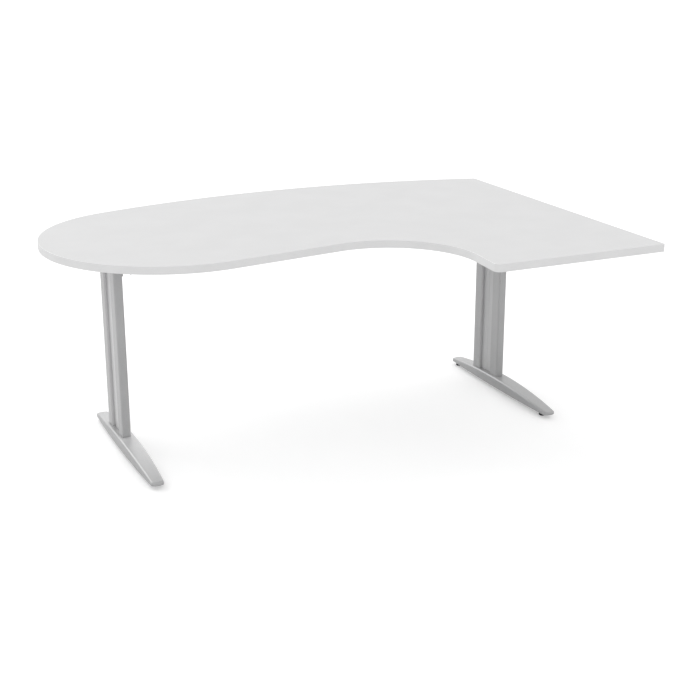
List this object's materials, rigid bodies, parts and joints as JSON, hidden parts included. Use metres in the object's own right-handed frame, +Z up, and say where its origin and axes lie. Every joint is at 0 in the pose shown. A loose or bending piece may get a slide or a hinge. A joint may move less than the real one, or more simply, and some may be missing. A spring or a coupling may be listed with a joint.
{
  "type": "office desk",
  "caption": "Free-form desk with a round lobe, a hollow user side and a straight extension, on two T-shaped metal legs with levelling glides.",
  "frame": {"origin": "on the floor, below the middle of the bounding box", "axes": "+X along the desk towards the straight side, +Y to the bowed back, +Z up"},
  "size_m": [1.8, 1.3167, 0.72],
  "materials": {
    "top_laminate": "pale grey melamine faced board, fine matt grain",
    "edge_band": "pale grey edging, satin",
    "frame_steel": "silver grey powder coat, satin",
    "foot_cast": "silver grey powder coat on a casting",
    "cover_plastic": "silver grey, matt",
    "bare_steel": "bare",
    "fastener_steel": "zinc plated",
    "bush_brass": "bare",
    "glide_plastic": "black, matt",
    "cap_plastic": "grey, matt"
  },
  "bodies": {
    "desk": {"top_board": "top_laminate", "top_band": "edge_band", "beam": "frame_steel", "left_foot": "foot_cast", "left_front_post": "frame_steel", "left_rear_post": "frame_steel", "left_cover_inner": "cover_plastic", "left_cover_outer": "cover_plastic", "left_post_plugs": "bare_steel", "left_foot_bolts": "fastener_steel", "left_glide_bushes": "bush_brass", "left_arm": "frame_steel", "left_arm_cap_front": "cap_plastic", "left_arm_cap_rear": "cap_plastic", "left_arm_screws": "fastener_steel", "left_beam_plate": "frame_steel", "left_beam_bolts": "fastener_steel", "left_beam_nuts": "fastener_steel", "right_foot": "foot_cast", "right_front_post": "frame_steel", "right_rear_post": "frame_steel", "right_cover_inner": "cover_plastic", "right_cover_outer": "cover_plastic", "right_post_plugs": "bare_steel", "right_foot_bolts": "fastener_steel", "right_glide_bushes": "bush_brass", "right_arm": "frame_steel", "right_arm_cap_front": "cap_plastic", "right_arm_cap_rear": "cap_plastic", "right_arm_screws": "fastener_steel", "right_beam_plate": "frame_steel", "right_beam_bolts": "fastener_steel", "right_beam_nuts": "fastener_steel"},
    "left_front_foot_glide": {"left_front_glide": "glide_plastic", "left_front_stem": "fastener_steel"},
    "left_rear_foot_glide": {"left_rear_glide": "glide_plastic", "left_rear_stem": "fastener_steel"},
    "right_front_foot_glide": {"right_front_glide": "glide_plastic", "right_front_stem": "fastener_steel"},
    "right_rear_foot_glide": {"right_rear_glide": "glide_plastic", "right_rear_stem": "fastener_steel"}
  },
  "joints": [
    {"name": "left_front_glide_height", "type": "slide", "parent": "desk", "child": "left_front_foot_glide", "axis": [0, 0, -1], "range_m": [-0.002, 0.005]},
    {"name": "left_rear_glide_height", "type": "slide", "parent": "desk", "child": "left_rear_foot_glide", "axis": [0, 0, -1], "range_m": [-0.002, 0.005]},
    {"name": "right_front_glide_height", "type": "slide", "parent": "desk", "child": "right_front_foot_glide", "axis": [0, 0, -1], "range_m": [-0.002, 0.005]},
    {"name": "right_rear_glide_height", "type": "slide", "parent": "desk", "child": "right_rear_foot_glide", "axis": [0, 0, -1], "range_m": [-0.002, 0.005]}
  ]
}
